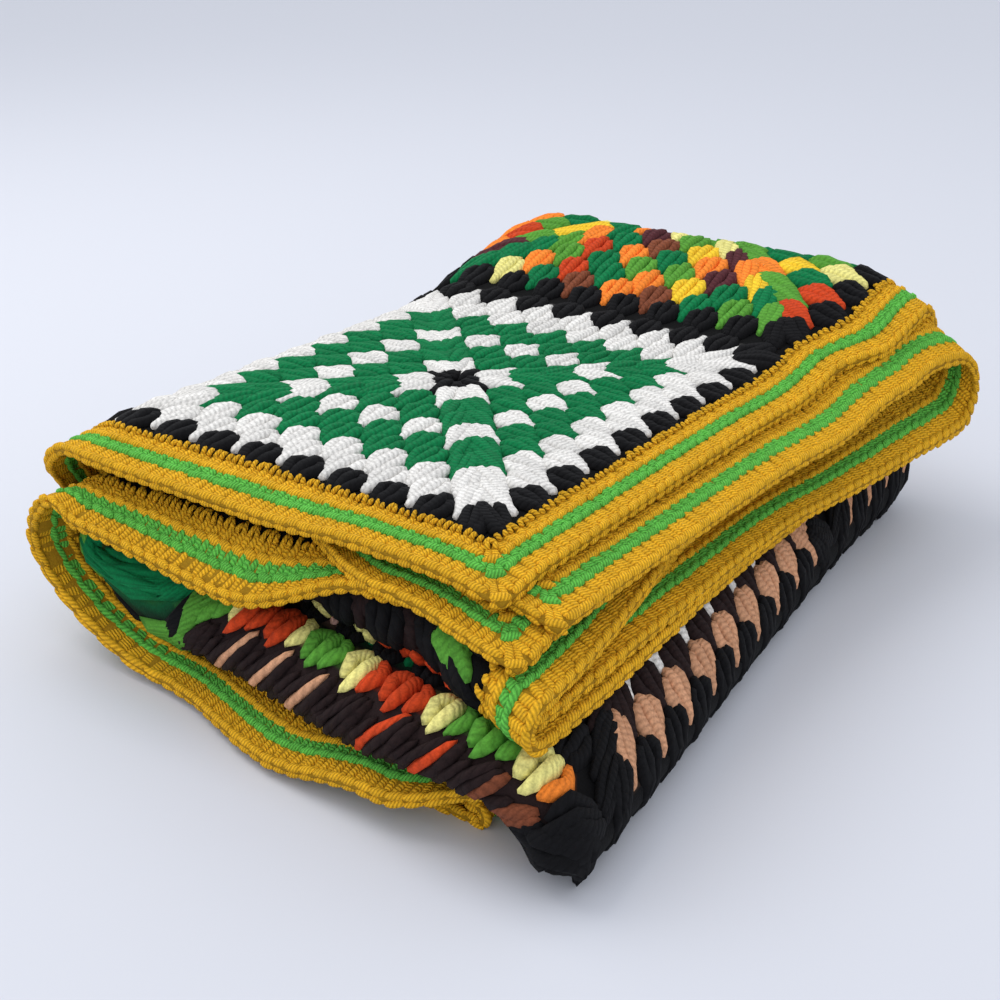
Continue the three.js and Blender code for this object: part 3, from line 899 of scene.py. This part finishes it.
def ring_path(inset):
    """Stitch places along a rectangle that far inside the rim: points, outward and onward directions."""
    size = np.array([WIDTH, LENGTH]) - 2 * inset
    pieces = []
    corners = np.array([(0, 0), (1, 0), (1, 1), (0, 1)])
    for corner, next_corner in zip(corners, np.roll(corners, -1, axis=0)):
        here = inset + corner * size
        there = inset + next_corner * size
        length = np.linalg.norm(there - here)
        onward = (there - here) / length
        out = np.array([onward[1], -onward[0]])
        count = round(length / STITCH)
        points = here + (there - here) * (np.arange(count)[:, None] / count)
        outs = np.tile(out, (count, 1))
        outs[0] = (out - onward) / math.sqrt(2)
        onwards = np.stack([-outs[:, 1], outs[:, 0]], axis=1)
        pieces.append((points, outs, onwards))
    return tuple(np.concatenate(each) for each in zip(*pieces))


def rim_place(points, out, onward, along_rim, outwards):
    """Flat cloth points beside the stitch places, that far along the rim and outward."""
    return points[:, None] + onward[:, None] * along_rim[..., None] + out[:, None] * outwards[..., None]


def at_height(flat, over):
    """Flat points with their height over the middle of the cloth."""
    over = np.broadcast_to(over, flat.shape[:-1])
    return np.concatenate([flat, over[..., None]], axis=-1)


def lay_edging(strands, number, points, out, onward):
    """One round of short stitches: two legs side by side under a link of chain on each face."""
    n, rings = len(points), len(LEG_RINGS)
    yarn = np.array(YARNS[ROUND_YARNS[number]])
    half = ROUND_HALVES[number]
    t = LEG_RINGS[None]
    for leg in (-1, 1):
        slant = LEG_SLANT + jitter(LEG_SLANT_JITTER, n)[:, None]
        over = LEG_OVER * leg + jitter(LEG_OVER_JITTER, n)[:, None] + jitter(LEG_WOBBLE, n, rings)
        along_rim = leg * (LEG_APART + slant * t) + jitter(LEG_PLACE_JITTER, n)[:, None]
        length = half + jitter(LEG_LENGTH_JITTER, n)[:, None]
        colours = yarn * (1 + jitter(STITCH_TONE_JITTER, n))[:, None]
        path = at_height(rim_place(points, out, onward, along_rim, length * t - LEG_IN), over)
        size = 1 + jitter(LEG_SIZE_JITTER, n)[:, None]
        strands.lay(path, LEG_RADII[None] * size, colours, STITCH_FLATNESS)
    for face in (1, -1):
        colours = yarn * (1 + jitter(STITCH_TONE_JITTER, n))[:, None]
        over = face * (CHAIN_OVER + CHAIN_TILT * t) + jitter(CHAIN_OVER_JITTER, n)[:, None]
        along_rim = np.broadcast_to(CHAIN_HALF * t, (n, rings))
        outwards = half - CHAIN_IN + CHAIN_SLANT * t + jitter(CHAIN_PLACE_JITTER, n)[:, None]
        path = at_height(rim_place(points, out, onward, along_rim, outwards), over)
        strands.lay(path, CHAIN_RADII[None], colours, STITCH_FLATNESS)


def lay_spikes(strands, points, out, onward):
    """The legs of the innermost round, worked into the black."""
    n = len(points)
    yarn = np.array(YARNS["mustard"])
    t = SPIKE_RINGS[None]
    for lean in (-1, 1):
        reach = dice.uniform(*SPIKE_REACH, (n, 1))
        along_rim = lean * SPIKE_APART + t * (lean * SPIKE_SPLAY + jitter(SPIKE_SWAY, n)[:, None])
        over = SPIKE_OVER + np.sin(t * math.pi)
        flat = rim_place(points, out, onward, along_rim, -SPIKE_START - reach * t)
        for face in (1, -1):
            # The legs' yarn darkened as painted shade, with a random tone on top.
            colours = yarn * (SPIKE_SHADE + jitter(SPIKE_TONE_JITTER, n))[:, None]
            strands.lay(at_height(flat, face * over), SPIKE_RADII[None], colours, 1.0)


edging_pieces = []
for number, inset in enumerate(ROUND_INSETS):
    points, out, onward = ring_path(inset)
    seen = exposure(np.concatenate([points, np.zeros((len(points), 1))], axis=1)) > SEEN_ENOUGH
    strands = Strands(f"edging_round_{number + 1}")
    lay_edging(strands, number, points[seen], out[seen], onward[seen])
    edging_pieces.append(strands.make())
spikes = Strands("edging_legs")
lay_spikes(spikes, points[seen], out[seen], onward[seen])
edging_pieces.append(spikes.make())


# ---- materials ----
PLIES = 3
# painted light and shade on the plies: their tops are lightened by this much and the grooves between them
# darkened
RIDGE_LIGHT = 1.06
FIBRE_SHARE = 0.35  # of the plies' height
BUMP_DEPTH = 0.0008


def yarn_material(name, relief, ply=None, groove_shade=1.0):
    """Yarn in the colour of each point, with fibres and a soft sheen, and plies where ply gives their length.

    The last argument sets how dark the painted shade between two plies gets; the tops of the plies are
    lightened a little as painted light.
    """
    material = bpy.data.materials.new(name)
    material.use_nodes = True
    nodes, links = material.node_tree.nodes, material.node_tree.links
    nodes.clear()

    def node(kind, inputs, **settings):
        made = nodes.new(kind)
        for setting, value in settings.items():
            setattr(made, setting, value)
        for socket, value in inputs.items():
            if isinstance(value, bpy.types.NodeSocket):
                links.new(value, made.inputs[socket])
            else:
                made.inputs[socket].default_value = value
        return made

    def math_node(operation, *inputs):
        return node("ShaderNodeMath", dict(enumerate(inputs)), operation=operation).outputs["Value"]

    colour = node("ShaderNodeAttribute", {}, attribute_name="yarn").outputs["Color"]
    place = node("ShaderNodeTexCoord", {}).outputs["Object"]
    fibre = node("ShaderNodeTexNoise", {"Vector": place, "Scale": 900, "Detail": 3}).outputs["Fac"]
    fibre_tones = {"From Min": 0.3, "From Max": 0.7, "To Min": 0.78, "To Max": 1.15}
    tone = node("ShaderNodeMapRange", {"Value": fibre} | fibre_tones).outputs["Result"]
    height = fibre
    if ply:
        strand = node("ShaderNodeUVMap", {}, uv_map="strand").outputs["UV"]
        parts = node("ShaderNodeSeparateXYZ", {"Vector": strand})
        round_strand = math_node("MULTIPLY", parts.outputs["Y"], PLIES)
        turns = math_node("MULTIPLY_ADD", parts.outputs["X"], 1 / ply, round_strand)
        ridge = math_node("ABSOLUTE", math_node("SINE", math_node("MULTIPLY", turns, math.pi)))
        height = math_node("MULTIPLY_ADD", fibre, FIBRE_SHARE, ridge)
        # Painted shade in the grooves between the plies and painted light on their tops, put into the colour.
        groove_shades = {"To Min": groove_shade, "To Max": RIDGE_LIGHT}
        groove = node("ShaderNodeMapRange", {"Value": ridge} | groove_shades).outputs["Result"]
        tone = math_node("MULTIPLY", groove, tone)
    scaled = {0: colour, "Scale": tone}
    shaded = node("ShaderNodeVectorMath", scaled, operation="SCALE").outputs["Vector"]
    bump_inputs = {"Strength": relief, "Distance": BUMP_DEPTH, "Height": height}
    bump = node("ShaderNodeBump", bump_inputs).outputs["Normal"]
    shader_inputs = {
        "Base Color": shaded,
        "Normal": bump,
        "Roughness": 0.92,
        "Specular IOR Level": 0.18,
        "Sheen Weight": 0.35,
        "Sheen Roughness": 0.45,
        "Sheen Tint": shaded,
    }
    shader = node("ShaderNodeBsdfPrincipled", shader_inputs).outputs["BSDF"]
    node("ShaderNodeOutputMaterial", {"Surface": shader})
    return material


cluster_yarn = yarn_material("cluster_yarn", relief=0.45, ply=2.8, groove_shade=0.80)
edging_yarn = yarn_material("edging_yarn", relief=0.7, ply=1.5, groove_shade=0.66)
backing_yarn = yarn_material("backing_yarn", relief=0.5)


def finish_piece(piece, material, node):
    piece.data.materials.append(material)
    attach(piece, "root")
    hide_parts(node)


finish_piece(squares_cloth, backing_yarn, "joined_squares")
for piece in cluster_pieces:
    finish_piece(piece, cluster_yarn, "joined_squares")
finish_piece(edging_cloth, backing_yarn, "edging")
for piece in edging_pieces:
    finish_piece(piece, edging_yarn, "edging")

# ---- floor, light and camera ----
FLOOR_SIZE = 40.0
floor_mesh = bpy.data.meshes.new("floor")
half_floor = FLOOR_SIZE / 2
floor_corners = [(x * half_floor, y * half_floor, 0) for x, y in ((-1, -1), (1, -1), (1, 1), (-1, 1))]
floor_mesh.from_pydata(floor_corners, [], [(0, 1, 2, 3)])
floor = bpy.data.objects.new("floor", floor_mesh)
bpy.context.scene.collection.objects.link(floor)
floor_material = bpy.data.materials.new("floor_paint")
floor_material.use_nodes = True
floor_shader = floor_material.node_tree.nodes["Principled BSDF"]
floor_shader.inputs["Base Color"].default_value = (0.62, 0.64, 0.70, 1)
floor_shader.inputs["Roughness"].default_value = 0.8
floor.data.materials.append(floor_material)
floor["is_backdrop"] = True

world = bpy.data.worlds.new("studio")
bpy.context.scene.world = world
world.use_nodes = True
sky = world.node_tree.nodes["Background"]
sky.inputs["Color"].default_value = (0.93, 0.95, 1.0, 1)
sky.inputs["Strength"].default_value = 1.0

LIT_PLACE = (0, 0, 0.05)


def softbox(name, place, size, power, tint):
    """A square area light turned towards the middle of the bundle."""
    data = bpy.data.lights.new(name, "AREA")
    data.size = size
    data.energy = power
    data.color = tint
    lamp = bpy.data.objects.new(name, data)
    bpy.context.scene.collection.objects.link(lamp)
    lamp.location = place
    lamp.rotation_euler = (Vector(LIT_PLACE) - Vector(place)).to_track_quat("-Z", "Y").to_euler()


softbox("key", (-0.9, -0.2, 1.5), 1.2, 12, (1.0, 0.98, 0.95))
softbox("fill", (1.2, -1.2, 0.9), 1.5, 3, (0.95, 0.97, 1.0))

# The camera's place was fitted to the bundle's corners in the photo.
AZIMUTH = math.radians(36.23)
ELEVATION = math.radians(24.45)
DISTANCE = 0.8026
SENSOR = 36.0
FOCAL = 1.471  # focal length, in sensor widths
TARGET = np.array([-0.0158, -0.0263, 0.0332]) + SHIFT
toward = np.array(
    [math.sin(AZIMUTH) * math.cos(ELEVATION), -math.cos(AZIMUTH) * math.cos(ELEVATION), math.sin(ELEVATION)]
)
camera_data = bpy.data.cameras.new("camera")
camera_data.sensor_width = SENSOR
camera_data.lens = SENSOR * FOCAL
camera = bpy.data.objects.new("camera", camera_data)
bpy.context.scene.collection.objects.link(camera)
camera.location = TARGET + toward * DISTANCE
camera.rotation_euler = Vector(-toward).to_track_quat("-Z", "Y").to_euler()
bpy.context.scene.camera = camera
bpy.context.scene.view_settings.view_transform = "Standard"
